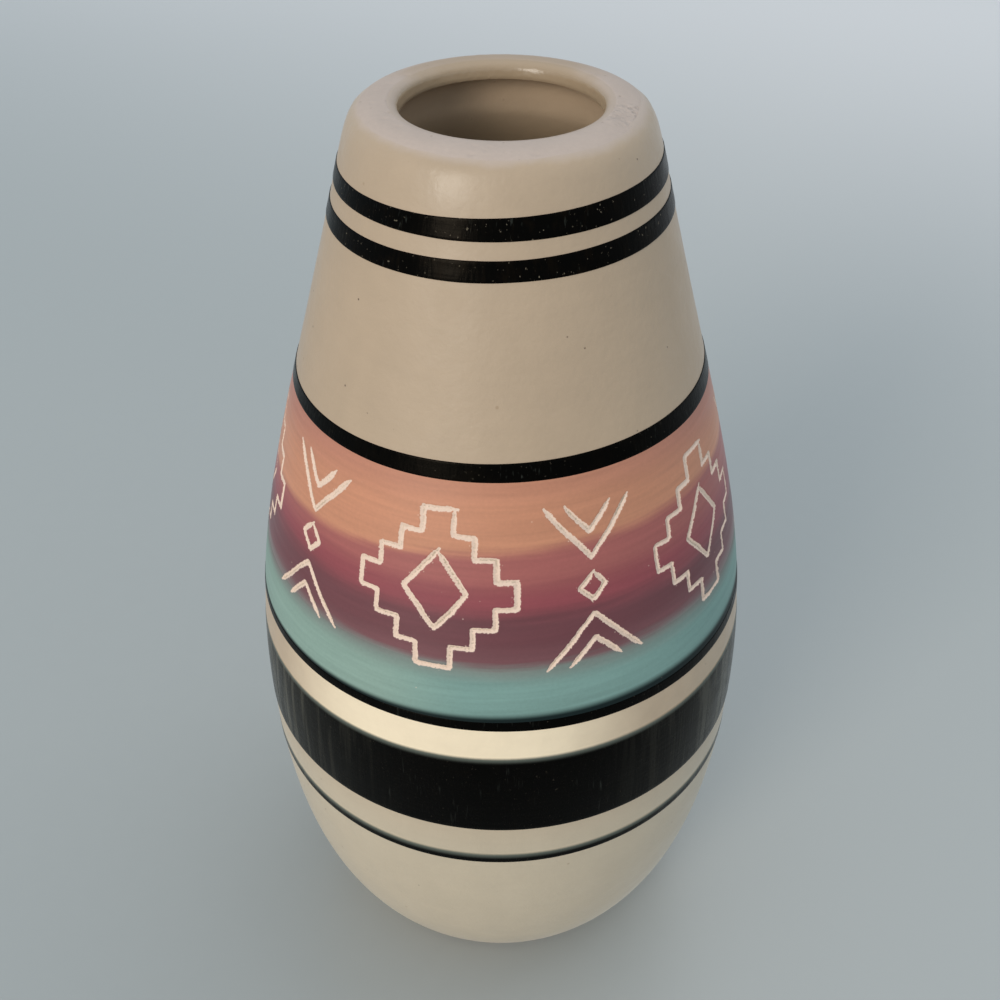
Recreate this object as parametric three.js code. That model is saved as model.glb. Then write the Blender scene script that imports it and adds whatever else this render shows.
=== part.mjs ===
import * as THREE from 'three';

// A tapered pottery vase. One wall of fired clay makes the foot, belly, shoulder and rim.
// A cream slip covers the outside, rings of black and coloured slip are painted over it,
// and a clear gloss glaze lines the inside.
// Sizes are in millimetres, +Z is up, the foot stands on z = 0 and Z is the axis of the vase.

// Outside of the clay
const vase_height = 192.4;
const foot_radius = 33.4;
const foot_flare_degrees = 32;
const belly_radius = 51.25;
const belly_height = 68.6;
const neck_taper = 0.262;
const rim_height = 10.2;

// How far each stretch of wall holds its end direction, as a share of the stretch's height
const hold_at_foot = 0.12;
const hold_below_belly = 0.73;
const hold_above_belly = 0.34;
const hold_at_neck = 0.45;

// Rim and mouth
const mouth_radius = 17.3;
const rim_width = 10.45;
const crown_inset = 2;
const crown_hold = 5.7;
const rim_shoulder_hold = 8.4;
const mouth_edge_drop = 1.5;
const lip_depth = 2.75;
const undercut_height = 8;

// Wall, floor and foot
const wall_thickness = 5;
const floor_thickness = 6;
const floor_fillet = 9;
const foot_edge_height = 1.4;
const foot_edge_width = 1.6;
const foot_ring_width = 7;
const foot_recess_depth = 1.2;
const foot_recess_slope = 1.5;

// Coats over the clay
const cream_slip_thickness = 0.25;
const paint_thickness = 0.15;
const glaze_thickness = 0.3;
const bare_crown_width = 4.1;

// Painted rings from the top down, measured as heights on the vase
const rim_bands_drop = 8.8;
const rim_band_upper_width = 3.5;
const rim_bands_gap = 2.8;
const rim_band_lower_width = 3.4;
const plain_shoulder_width = 28.8;
const shoulder_band_width = 3.3;
const peach_coat_width = 12.1;
const rose_coat_width = 11.8;
const plum_coat_width = 10.6;
const turquoise_coat_width = 12;
const belly_line_width = 2;
const cream_above_wide_band = 7;
const wide_band_width = 20;
const cream_below_wide_band = 8.6;
const pinstripe_width = 1.9;

// Fineness of the turned shape
const turned_sides = 48;
const longest_wall_step = 12.2;
const longest_cavity_step = 17;
const rim_steps = 4;
const small_curve_steps = 3;
const search_rounds = 40;

const neck_radius = mouth_radius + rim_width;
const neck_height = vase_height - rim_height;
const crown_radius = mouth_radius + crown_inset;
const lip_bottom = vase_height - lip_depth;

function place(radius, height) {
  return new THREE.Vector2(radius, height);
}

// Wall of the clay: a flaring lower stretch up to the belly and a tapering upper one to the neck
function lower_wall_curve() {
  const flare = THREE.MathUtils.degToRad(foot_flare_degrees);
  const hold = hold_at_foot * belly_height;
  return new THREE.CubicBezierCurve(
    place(foot_radius, 0),
    place(foot_radius + hold * Math.sin(flare), hold * Math.cos(flare)),
    place(belly_radius, belly_height * (1 - hold_below_belly)),
    place(belly_radius, belly_height),
  );
}

function upper_wall_curve() {
  const rise = neck_height - belly_height;
  const hold = hold_at_neck * rise;
  return new THREE.CubicBezierCurve(
    place(belly_radius, belly_height),
    place(belly_radius, belly_height + hold_above_belly * rise),
    place(neck_radius + neck_taper * hold, neck_height - hold),
    place(neck_radius, neck_height),
  );
}

function rim_shoulder_curve() {
  return new THREE.CubicBezierCurve(
    place(neck_radius, neck_height),
    place(neck_radius - neck_taper * rim_shoulder_hold, neck_height + rim_shoulder_hold),
    place(crown_radius + crown_hold, vase_height),
    place(crown_radius, vase_height),
  );
}

// The point of a curve at a share of its length, moved out from the clay by build_up
function built_up(curve, share, build_up) {
  const point = curve.getPoint(share);
  const along = curve.getTangent(share);
  return place(point.x + along.y * build_up, point.y - along.x * build_up);
}

// The place in 0 to last where a rising measure reaches a value
function search(last, value, measure) {
  let low = 0;
  let high = last;
  for (let round = 0; round < search_rounds; round += 1) {
    const middle = (low + high) / 2;
    if (measure(middle) < value) {
      low = middle;
    } else {
      high = middle;
    }
  }
  return (low + high) / 2;
}

// Travel over the outside: 0 at the foot, 1 at the belly, 2 at the neck and 3 at the crown
const outside_curves = [lower_wall_curve(), upper_wall_curve(), rim_shoulder_curve()];

function outside_point(travel, build_up) {
  const stretch = Math.min(Math.floor(travel), outside_curves.length - 1);
  return built_up(outside_curves[stretch], travel - stretch, build_up);
}

function travel_to(height, build_up) {
  return search(outside_curves.length, height, (travel) => outside_point(travel, build_up).y);
}

function wall_at(height, build_up) {
  return outside_point(travel_to(height, build_up), build_up);
}

// Heights from low to high with every gap divided evenly into steps no longer than longest
function divided(heights, longest) {
  const sorted = [...new Set(heights)].sort((a, b) => a - b);
  const result = [sorted[0]];
  for (let i = 1; i < sorted.length; i += 1) {
    const gap = sorted[i] - sorted[i - 1];
    const steps = Math.max(1, Math.ceil(gap / longest));
    for (let step = 1; step < steps; step += 1) {
      result.push(sorted[i - 1] + (gap * step) / steps);
    }
    result.push(sorted[i]);
  }
  return result;
}

// Materials
function fired(colour, roughness) {
  return new THREE.MeshStandardMaterial({ color: colour, roughness, metalness: 0 });
}

const bare_clay = fired('#bfae9e', 0.85);
const cream_slip = fired('#bba68a', 0.5);
const black_slip = fired('#0b0a0a', 0.4);
const peach_slip = fired('#c08769', 0.55);
const rose_slip = fired('#97575a', 0.55);
const plum_slip = fired('#6c4043', 0.55);
const turquoise_slip = fired('#76948f', 0.55);
const gloss_glaze = fired('#8a755a', 0.15);

// Painted rings with the heights of their edges, and the plain space below each
const rings = [
  { name: 'rim_band_upper', width: rim_band_upper_width, space: rim_bands_gap, slip: black_slip },
  { name: 'rim_band_lower', width: rim_band_lower_width, space: plain_shoulder_width, slip: black_slip },
  { name: 'shoulder_band', width: shoulder_band_width, space: 0, slip: black_slip },
  { name: 'peach_coat', width: peach_coat_width, space: 0, slip: peach_slip },
  { name: 'rose_coat', width: rose_coat_width, space: 0, slip: rose_slip },
  { name: 'plum_coat', width: plum_coat_width, space: 0, slip: plum_slip },
  { name: 'turquoise_coat', width: turquoise_coat_width, space: 0, slip: turquoise_slip },
  { name: 'belly_line', width: belly_line_width, space: cream_above_wide_band, slip: black_slip },
  { name: 'wide_black_band', width: wide_band_width, space: cream_below_wide_band, slip: black_slip },
  { name: 'lower_pinstripe', width: pinstripe_width, space: 0, slip: black_slip },
];

let next_edge = vase_height - rim_bands_drop;
for (const ring of rings) {
  ring.top = next_edge;
  ring.bottom = next_edge - ring.width;
  next_edge = ring.bottom - ring.space;
}

// The slip stops short of the crown, which is wiped bare
const crown_travel = outside_curves.length;
const neck_travel = crown_travel - 1;
const slip_edge_radius = crown_radius + bare_crown_width;
const bare_travel = neck_travel
  + search(1, -slip_edge_radius, (share) => -outside_curves.at(-1).getPoint(share).x);

// Every coat takes its corners from the same stations, so that it lies on the coat below it
const ring_edges = rings.flatMap((ring) => [ring.top, ring.bottom]);
const wall_heights = divided([foot_edge_height, ...ring_edges], longest_wall_step);
const wall_stations = wall_heights.map((height) => ({ height, travel: travel_to(height, 0) }));

function wall_stretch(bottom, top, build_up) {
  return wall_stations
    .filter((station) => station.height >= bottom && station.height <= top)
    .map((station) => outside_point(station.travel, build_up));
}

function rim_stretch(from, to, build_up) {
  const points = [];
  for (let step = 1; step <= rim_steps; step += 1) {
    points.push(outside_point(from + ((to - from) * step) / rim_steps, build_up));
  }
  return points;
}

function outside(build_up) {
  const last = wall_stations.at(-1);
  return [
    ...wall_stretch(foot_edge_height, last.height, build_up),
    ...rim_stretch(last.travel, bare_travel, build_up),
  ];
}

function crown() {
  return [outside_point((bare_travel + crown_travel) / 2, 0), outside_point(crown_travel, 0)];
}

// Inside of the clay, from the mouth down to the axis
function mouth_edge() {
  const points = [];
  for (let step = 1; step <= small_curve_steps; step += 1) {
    const turn = (step / small_curve_steps) * (Math.PI / 2);
    const radius = crown_radius - crown_inset * Math.sin(turn);
    points.push(place(radius, vase_height - mouth_edge_drop * (1 - Math.cos(turn))));
  }
  return points;
}

function cavity() {
  const cavity_top = lip_bottom - undercut_height;
  const fillet_top = floor_thickness + floor_fillet;
  const highest = wall_at(cavity_top, -wall_thickness);
  const lowest = wall_at(fillet_top, -wall_thickness);
  const corner = place(wall_at(floor_thickness, -wall_thickness).x, floor_thickness);
  const undercut = new THREE.QuadraticBezierCurve(
    place(mouth_radius, lip_bottom),
    place(highest.x, lip_bottom),
    highest,
  );
  const fillet = new THREE.QuadraticBezierCurve(
    lowest,
    corner,
    place(corner.x - floor_fillet, floor_thickness),
  );
  const between = divided([fillet_top, cavity_top], longest_cavity_step).slice(1, -1).reverse();
  return [
    ...undercut.getPoints(small_curve_steps),
    ...between.map((height) => wall_at(height, -wall_thickness)),
    ...fillet.getPoints(small_curve_steps),
    place(0, floor_thickness),
  ];
}

const mouth_corners = mouth_edge();
const inside = [mouth_corners.at(-1), ...cavity()];

function foot() {
  const ring_outside = foot_radius - foot_edge_width;
  const ring_inside = ring_outside - foot_ring_width;
  const edge = new THREE.QuadraticBezierCurve(
    place(ring_outside, 0),
    place(foot_radius, 0),
    wall_at(foot_edge_height, 0),
  );
  return [
    place(0, foot_recess_depth),
    place(ring_inside - foot_recess_slope, foot_recess_depth),
    place(ring_inside, 0),
    ...edge.getPoints(small_curve_steps).slice(0, -1),
  ];
}

// A line of points moved to its right-hand side by a thickness, with mitred corners
function lined(points, thickness) {
  return points.map((point, i) => {
    const before = i > 0 ? point.clone().sub(points[i - 1]).normalize() : null;
    const after = i < points.length - 1 ? points[i + 1].clone().sub(point).normalize() : null;
    const first = before ?? after;
    const second = after ?? before;
    const along = first.clone().add(second).normalize();
    const mitre = thickness / along.dot(first);
    return place(Math.max(0, point.x + along.y * mitre), point.y - along.x * mitre);
  });
}

function turned(name, profile, material) {
  const geometry = new THREE.LatheGeometry(profile, turned_sides);
  geometry.rotateX(Math.PI / 2);
  const mesh = new THREE.Mesh(geometry, material);
  mesh.name = name;
  return mesh;
}

function clay_body() {
  const profile = [...foot(), ...outside(0), ...crown(), ...mouth_corners, ...inside.slice(1)];
  return turned('clay_body', profile, bare_clay);
}

function inner_glaze() {
  const profile = [...inside].reverse().concat(lined(inside, glaze_thickness));
  return turned('inner_glaze', profile, gloss_glaze);
}

// A coat is closed by going up its outer side and down the side that it lies on
function coat(name, outer_side, inner_side, material) {
  const profile = [...outer_side, ...inner_side.toReversed(), outer_side[0]];
  return turned(name, profile, material);
}

function painted_ring(ring) {
  const outer_side = wall_stretch(ring.bottom, ring.top, cream_slip_thickness + paint_thickness);
  const inner_side = wall_stretch(ring.bottom, ring.top, cream_slip_thickness);
  return coat(ring.name, outer_side, inner_side, ring.slip);
}

const vase = new THREE.Group();
vase.add(clay_body());
vase.add(inner_glaze());
vase.add(coat('cream_slip', outside(cream_slip_thickness), outside(0), cream_slip));
for (const ring of rings) {
  vase.add(painted_ring(ring));
}

export default vase;
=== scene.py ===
"""A pottery vase with painted rings and a scratched border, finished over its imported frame.

The file is laid out as an add-on and is run as a script. Lengths are in metres, +Z is up, and the vase stands
on z = 0.
"""

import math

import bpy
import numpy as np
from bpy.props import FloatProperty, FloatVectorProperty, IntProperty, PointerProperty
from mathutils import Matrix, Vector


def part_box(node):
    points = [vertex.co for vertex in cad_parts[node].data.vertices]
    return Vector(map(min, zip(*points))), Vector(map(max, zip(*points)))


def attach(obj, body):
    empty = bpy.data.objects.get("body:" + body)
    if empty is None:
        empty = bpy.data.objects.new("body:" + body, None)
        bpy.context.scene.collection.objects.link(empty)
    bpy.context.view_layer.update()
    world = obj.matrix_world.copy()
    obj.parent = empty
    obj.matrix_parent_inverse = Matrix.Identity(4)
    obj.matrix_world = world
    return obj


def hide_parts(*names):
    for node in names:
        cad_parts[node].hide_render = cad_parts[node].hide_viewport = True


bl_info = {
    "name": "Banded Pottery Vase",
    "version": (1, 0, 0),
    "blender": (4, 5, 0),
    "location": "View3D > Sidebar > Vase",
    "description": "Makes the clay, slips, painted rings, scratched border and glaze of a pottery vase",
    "category": "Add Mesh",
}

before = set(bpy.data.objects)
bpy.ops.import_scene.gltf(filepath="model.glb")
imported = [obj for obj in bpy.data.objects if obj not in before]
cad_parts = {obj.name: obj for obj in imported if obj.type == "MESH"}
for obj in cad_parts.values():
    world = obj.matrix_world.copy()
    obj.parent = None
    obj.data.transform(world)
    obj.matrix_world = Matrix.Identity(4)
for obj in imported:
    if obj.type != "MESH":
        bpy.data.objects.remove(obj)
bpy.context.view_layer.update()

MM = 0.001
FULL_TURN = 2 * math.pi
FRONT = -math.pi / 2
BACK = math.pi / 2
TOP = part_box("clay_body")[1].z

# Line of the wall, as the potter turned it
FOOT_FLARE = math.radians(32)
NECK_TAPER = 0.262
HOLD_AT_FOOT = 0.12
HOLD_BELOW_BELLY = 0.73
HOLD_ABOVE_BELLY = 0.34
HOLD_AT_NECK = 0.45
CROWN_INSET = 2 * MM
CROWN_HOLD = 5.7 * MM
RIM_SHOULDER_HOLD = 8.4 * MM
MOUTH_EDGE_DROP = 1.5 * MM
LIP_DEPTH = 2.75 * MM
UNDERCUT_HEIGHT = 8 * MM
FLOOR_FILLET = 9 * MM
FOOT_EDGE_HEIGHT = 1.4 * MM
FOOT_EDGE_WIDTH = 1.6 * MM
FOOT_RING_WIDTH = 7 * MM
FOOT_RING_ROUND = 0.5 * MM
FOOT_RECESS_DEPTH = 1.2 * MM
FOOT_RECESS_SLOPE = 1.5 * MM
BARE_CROWN_WIDTH = 4.1 * MM
CURVE_STEPS = 400

# Points of an outline or of a turned sheet that lie nearer than this are one point
OUTLINE_JOIN = MM / 10000
SHEET_JOIN = MM / 1000

# Edges sharper than this stay sharp in the shading
SHARP_ANGLE = math.radians(50)

# Levels of the coats over the clay's surface where one is bedded in another, so that no gap shows at an edge
SLIP_BED = -0.05 * MM
PAINT_BED = 0.12 * MM
COVERED_COAT = 0.2 * MM
GLAZE_BED = -0.3 * MM
BARE_BED = -0.04 * MM
BORDER_BED = -0.25 * MM
SLIP_UNDER_BORDER = -0.32 * MM
SLIP_BED_UNDER_BORDER = -0.45 * MM
CLAY_UNDER_BORDER = -0.42 * MM
STEP_WIDTH = 0.3 * MM

# Columns of faces round each kind of piece: the scratched coats need the most
CLAY_COLUMNS = 384
GLAZE_COLUMNS = 288
SLIP_COLUMNS = 400
RING_COLUMNS = 512
BORDER_COLUMNS = 1120

# Round edges of the coats, and how far the slip thins out before its end at the crown
SLIP_EDGE = 0.8 * MM
SLIP_THINS = 2.5 * MM
RING_EDGE = 0.16 * MM

# Pits in the clay, waves of a scratched stroke and the length of the breaks along its edge
PIT_SPACING = 2.4 * MM
PIT_REACH = 0.7 * MM
STROKE_WAVE = 8 * MM
RAGGED_LENGTH = 0.45 * MM

# Travel from the crown over the rounded edge of the mouth, where the glaze and its bed bend most
LIP_TRAVEL = 7 * MM

# Waver of an edge round the vase: its length in radii, and how far apart its two sides read the noise
HAND_WAVE = 0.7
HAND_SIDES_APART = 3

# Noise mostly keeps within a third of its span, so three times it is a full swing
NOISE_SWING = 3

# Step of noise over which a grain of dust ends
GRAIN_EDGE = 0.05

# Turn, from the front, of the strongest painted reflection on the pale strip, and the heights over which the
# strip begins and ends
STRIP_TURN = math.radians(-12)
STRIP_BEGINS = (84 * MM, 85 * MM)
STRIP_ENDS = (94.2 * MM, 95 * MM)

# Heights over which a finish sets in or dies out
# The lower belly's paler, cooler cream is painted bounce light from below, dying out over these heights
BOUNCE_LIGHT_ENDS = (56 * MM, 84 * MM)
POLISH_BEGINS = (TOP - 10.4 * MM, TOP - 5.4 * MM)
CHALK_BEGINS = (TOP - 2 * MM, TOP - 0.6 * MM)
CROWN_BEGINS = (TOP - 6.4 * MM, TOP - 4.4 * MM)
FOOT_WEAR_ENDS = (0.05 * MM, 0.3 * MM)
DUST_BEGINS = (130 * MM, 174 * MM)
# Heights below which the black rings carry painted grey sheen at their sides
SIDE_SHEEN_ENDS = (88 * MM, 96 * MM)
SHALLOW_GLAZE_BEGINS = (TOP - 16.4 * MM, TOP - 7.4 * MM)
MOUTH_GLAZE_BEGINS = (TOP - 4.9 * MM, TOP - 2.9 * MM)
THIN_GLAZE_BEGINS = (TOP - 1.2 * MM, TOP - 0.1 * MM)

# Rough patch on the crown, and the distances from it over which it dies out
ROUGH_PATCH = (20.6 * MM, -7.4 * MM, TOP - 0.5 * MM)
ROUGH_PATCH_ENDS = (2.5 * MM, 6.5 * MM)

# Distances from the axis over which the thin glaze behind dies out on the crown
GLAZE_BEHIND_ENDS = (21 * MM, 23.2 * MM)

# Heights over which each colour of the border takes over from the one above it
ROSE_TAKES_OVER = (128.4 * MM, 130.8 * MM)
DEEP_ROSE_TAKES_OVER = (120 * MM, 126 * MM)
PLUM_TAKES_OVER = (115.5 * MM, 120 * MM)
PALE_PLUM_TAKES_OVER = (108 * MM, 113 * MM)
TURQUOISE_TAKES_OVER = (102.8 * MM, 107 * MM)

# Stage: reach of the floor, and place and span of the lights in metres
FLOOR_REACH = 3.0
WINDOW_PLACE = (-1.55, -2.3, 1.05)
WINDOW_SPAN = (1.0, 1.8)
CEILING_PLACE = (1.1, 0.9, 2.6)
CEILING_SPAN = (2.4, 2.4)

# Camera: its place, the point next to the axis that it looks at, and its sensor's width in millimetres
CAMERA_PLACE = (-0.24 * MM, -201.8 * MM, 265.6 * MM)
CAMERA_AIM = (-0.24 * MM, 0, 107.87 * MM)
SENSOR_WIDTH = 36

# How far the coloured coats run on under the black rings at both ends of the border
UNDER_SHOULDER_BAND = 1.6 * MM
UNDER_BELLY_LINE = 0.9 * MM

# Painted rings: tilt of the lower and upper edge in degrees, how far the brush ran past each edge, and how
# far down from the upper edge the paint thins out
RINGS = {
    "rim_band_upper": {"low_tilt": 1.2, "high_tilt": 2.3},
    "rim_band_lower": {"low_tilt": 1.5, "high_tilt": 1.8},
    "shoulder_band": {"low_tilt": 0.8, "high_tilt": 1.5},
    "belly_line": {"low_tilt": -0.25, "high_tilt": 0.2, "past_low": 0.2 * MM},
    "wide_black_band": {"low_tilt": 0.2, "high_tilt": 0.6, "past_high": 0.5 * MM, "thin": 2.1 * MM},
    "lower_pinstripe": {
        "low_tilt": 0.7,
        "high_tilt": 0.7,
        "past_low": 0.2 * MM,
        "past_high": 1.1 * MM,
        "thin": 2.4 * MM,
    },
}

# Facts that each point of a section carries, as one number each
NUMBER_FACTS = ("tilt", "sway", "side", "grain", "face", "fade")


def srgb(red, green, blue):
    """A colour written as 0 to 255, as Blender's linear red, green and blue."""
    shares = [value / 255 for value in (red, green, blue)]
    return tuple(s / 12.92 if s <= 0.04045 else ((s + 0.055) / 1.055) ** 2.4 for s in shares)


# Colours of small marks in the finishes, and of the light
PINHOLE_BROWN = srgb(96, 74, 54)
FLECK_BROWN = srgb(158, 128, 98)
PIT_SHADE = srgb(150, 132, 114)
FOOT_SOIL = srgb(120, 112, 106)
# Grey of the painted sheen at the sides of the lower black rings
SIDE_SHEEN_GREY = srgb(108, 104, 92)
DUST_GREY = srgb(128, 116, 98)
SKY_BLUE = srgb(224, 242, 255)
WINDOW_TINT = (1, 0.95, 0.86)
CEILING_TINT = (1, 1, 1)
BLACK_SHINE_TINT = (1, 0.84, 0.66)


def size(name, description, default):
    """A length that a user can change."""
    limits = {"min": 0, "unit": "LENGTH", "precision": 5}
    return FloatProperty(name=name, description=description, default=default, **limits)


def angle(name, description, degrees):
    """An angle that a user can change."""
    return FloatProperty(name=name, description=description, default=math.radians(degrees), subtype="ANGLE")


def share(name, description, default):
    """A strength that a user can change."""
    return FloatProperty(name=name, description=description, default=default, min=0)


def colour(name, description, red, green, blue):
    """A colour that a user can change."""
    limits = {"subtype": "COLOR", "size": 3, "min": 0, "max": 1}
    return FloatVectorProperty(name=name, description=description, default=srgb(red, green, blue), **limits)


class VaseForm(bpy.types.PropertyGroup):
    """Sizes of the turned form and of the coats on it."""

    height: size("Height", "From the foot to the crown of the rim", TOP)
    belly_radius: size("Belly radius", "Greatest radius of the clay", 51.25 * MM)
    belly_height: size("Belly height", "Height of the greatest radius", 68.6 * MM)
    foot_radius: size("Foot radius", "Radius of the clay where it meets the table", 33.4 * MM)
    mouth_radius: size("Mouth radius", "Radius of the opening", 17.3 * MM)
    rim_width: size("Rim width", "From the opening to the outside of the neck", 10.45 * MM)
    rim_height: size("Rim height", "Height of the rolled rim over the neck", 10.2 * MM)
    wall: size("Wall", "Thickness of the clay wall", 5 * MM)
    floor: size("Floor", "Thickness of the clay floor", 6 * MM)
    slip: size("Slip", "Level of the cream slip over the clay", 0.25 * MM)
    border: size("Border", "Level of the coloured coats over the clay", 0.32 * MM)
    paint: size("Paint", "Level of the black rings over the clay", 0.38 * MM)
    glaze: size("Glaze", "Thickness of the glaze inside", 0.3 * MM)


class BorderDesign(bpy.types.PropertyGroup):
    """The pattern scratched through the coloured coats."""

    repeats: IntProperty(name="Repeats", description="Times that it goes round", default=5, min=1, max=12)
    turn: angle("Turn", "Turn of the first motif from the front", -15)
    middle: size("Middle", "Height of the middle of the pattern", 121.6 * MM)
    line_width: size("Line width", "Width of a scratched line", 1.05 * MM)
    line_depth: size("Line depth", "Depth of a scratched line", 0.34 * MM)
    burr: size("Burr", "Height of the ridge that the stylus throws up beside a line", 0.04 * MM)
    wobble: size("Wobble", "How far the hand strays from a straight line", 0.25 * MM)
    ragged: size("Ragged edge", "How far the edge of a line breaks out", 0.11 * MM)


class SlipColours(bpy.types.PropertyGroup):
    """Colours of the clay, the slips and the glaze."""

    clay: colour("Clay", "Bare fired clay", 194, 174, 161)
    cream: colour("Cream", "Cream slip", 185, 160, 134)
    # Pale cream is the strip's own paler slip, blended in further at front and back as painted reflection
    pale_cream: colour("Pale cream", "Cream slip where it lies thickest", 249, 227, 195)
    # Painted bounce light: the lower belly paler and cooler, as if lit from the floor below
    bounce_lit_cream: colour("Low cream", "Cream slip on the lower belly", 199, 182, 158)
    black: colour("Black", "Black slip of the rings", 2, 2, 2)
    # Partly painted warm sheen: the brown that it gives is strongest on the upper rings
    thin_slip_and_sheen_brown: colour("Brown black", "Black slip where it lies thin", 24, 16, 8)
    # Real soft edges and scuffs, and also painted sheen streaks at the sides of the black rings
    edge_grey_and_sheen: colour("Edge grey", "Black slip feathered out at a soft edge", 96, 100, 92)
    peach: colour("Peach", "Peach slip", 202, 137, 105)
    # Deeper peach near the shoulder, and also painted sheen where it is blended in more at the sides
    deep_peach_and_sheen: colour("Deep peach", "Peach slip near the shoulder", 180, 118, 100)
    rose: colour("Rose", "Rose slip", 164, 92, 86)
    deep_rose: colour("Deep rose", "Rose slip where it turns to plum", 146, 69, 75)
    plum: colour("Plum", "Plum slip", 109, 59, 64)
    pale_plum: colour("Pale plum", "Plum slip next to the turquoise", 119, 72, 76)
    grey_turquoise: colour("Grey turquoise", "Turquoise slip next to the plum", 128, 136, 129)
    turquoise: colour("Turquoise", "Turquoise slip", 127, 157, 149)
    # Painted reflection: the turquoise is blended to this on the -x side
    painted_sheen_turquoise: colour("Thin turquoise", "Turquoise slip where it lies thin", 142, 165, 153)
    dusk: colour("Dusk", "Turquoise slip where it passes into black", 16, 30, 30)
    scratch: colour("Scratch", "Clay laid open by a scratched line", 238, 208, 187)
    scratch_shade: colour("Scratch shade", "Bottom of a scratched line", 176, 156, 128)
    glaze: colour("Glaze", "Gloss glaze inside", 216, 188, 158)
    deep_glaze: colour("Deep glaze", "Gloss glaze where it lies thick", 186, 160, 130)
    glaze_edge: colour("Glaze edge", "Glaze run thin at the mouth", 172, 147, 119)


class VaseStudio(bpy.types.PropertyGroup):
    """Floor, light and camera."""

    floor: colour("Floor", "Colour of the floor at the vase", 174, 175, 172)
    # Painted light: the floor is blended to this brighter colour far behind and to the right
    far_floor_painted_light: colour("Far floor", "Colour of the floor far behind", 226, 220, 217)
    sky: share("Sky", "Strength of the even light from all sides", 0.67)
    window: share("Window", "Power of the large light at the front left", 44)
    ceiling: share("Ceiling", "Power of the light above", 20)
    lens: FloatProperty(name="Lens", description="Focal length", default=44.46, min=1, unit="CAMERA")


# Formulas written as Python expressions


class Wire:
    """An output of a node. Its operators add the Math nodes that a formula needs."""

    def __init__(self, bench, socket):
        self.bench = bench
        self.socket = socket

    def __add__(self, other):
        return self.bench.math("ADD", self, other)

    def __radd__(self, other):
        return self.bench.math("ADD", other, self)

    def __sub__(self, other):
        return self.bench.math("SUBTRACT", self, other)

    def __rsub__(self, other):
        return self.bench.math("SUBTRACT", other, self)

    def __mul__(self, other):
        return self.bench.math("MULTIPLY", self, other)

    def __rmul__(self, other):
        return self.bench.math("MULTIPLY", other, self)

    def __truediv__(self, other):
        return self.bench.math("DIVIDE", self, other)

    def __rtruediv__(self, other):
        return self.bench.math("DIVIDE", other, self)

    def output(self, name):
        """Another output of the same node."""
        return Wire(self.bench, open_socket(self.socket.node.outputs, name))


def open_socket(sockets, name):
    """The socket at a place in the list, or the one in use with a name."""
    if isinstance(name, int):
        return sockets[name]
    return next(socket for socket in sockets if socket.enabled and socket.name == name)


class Bench:
    """A node tree being built, for a finish or for a shape."""

    def __init__(self, tree, place_kind, place_output):
        self.tree = tree
        self.place = self.node(place_kind, None, None, place_output)

    def node(self, kind, settings=None, feeds=None, result=None):
        """Adds a node, applies its settings, feeds its sockets and gives its first or named output."""
        node = self.tree.nodes.new(kind)
        for name, value in (settings or {}).items():
            setattr(node, name, value)
        for name, value in (feeds or {}).items():
            self.feed(open_socket(node.inputs, name), value)
        if result is not None:
            return Wire(self, open_socket(node.outputs, result))
        outputs = [socket for socket in node.outputs if socket.enabled]
        return Wire(self, outputs[0]) if outputs else None

    def feed(self, socket, value):
        """Links a wire to a socket, or sets the socket to a plain value."""
        if isinstance(value, Wire):
            self.tree.links.new(value.socket, socket)
        elif socket.type == "RGBA":
            socket.default_value = (*value[:3], 1)
        else:
            socket.default_value = value

    def math(self, operation, *values):
        return self.node("ShaderNodeMath", {"operation": operation}, dict(enumerate(values)))

    def vector(self, operation, *values):
        return self.node("ShaderNodeVectorMath", {"operation": operation}, dict(enumerate(values)))

    def scaled(self, vector, factor):
        return self.node("ShaderNodeVectorMath", {"operation": "SCALE"}, {"Vector": vector, "Scale": factor})

    def combined(self, x, y, z):
        return self.node("ShaderNodeCombineXYZ", None, {"X": x, "Y": y, "Z": z})

    def split(self, vector):
        """The x, y and z of a vector."""
        x = self.node("ShaderNodeSeparateXYZ", None, {"Vector": vector}, "X")
        return x, x.output("Y"), x.output("Z")

    def rise(self, value, low, high):
        """0 below low and 1 above high, with a smooth step between them."""
        settings = {"interpolation_type": "SMOOTHSTEP"}
        return self.node("ShaderNodeMapRange", settings, {"Value": value, "From Min": low, "From Max": high})

    def fall(self, value, low, high):
        """1 below low and 0 above high, with a smooth step between them."""
        return 1 - self.rise(value, low, high)

    def noise(self, length, detail=2.0, stretch=(1, 1, 1), shift=0.0, place=None):
        """Noise from -0.5 to 0.5 with features of a length, drawn out where stretch is under 1."""
        drawn = self.vector("MULTIPLY", place or self.place, stretch)
        feeds = {"Vector": self.vector("ADD", drawn, (shift, shift, shift)), "Scale": 1 / length}
        return self.node("ShaderNodeTexNoise", None, {**feeds, "Detail": detail}) - 0.5

    def dots(self, spacing, reach, share, shift=0.0):
        """Round dots, 1 at the middle: one to a cell of a spacing, kept in a share of the cells."""
        moved = self.vector("ADD", self.place, (shift, shift, shift))
        distance = self.node("ShaderNodeTexVoronoi", None, {"Vector": moved, "Scale": 1 / spacing})
        lot, _, _ = self.split(distance.output("Color"))
        round_dots = self.fall(distance, 0.4 * reach / spacing, reach / spacing)
        return round_dots * self.math("LESS_THAN", lot, share)

    def grains(self, length, rarity, shift=0.0):
        """Uneven grains of a length, 1 inside them: the rarer, the higher the noise that makes them."""
        return self.rise(self.noise(length, shift=shift), rarity, rarity + GRAIN_EDGE)


# Shapes made by rule

WHEEL = "Turned on the wheel"
STYLUS = "Scratched with a stylus"


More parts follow.
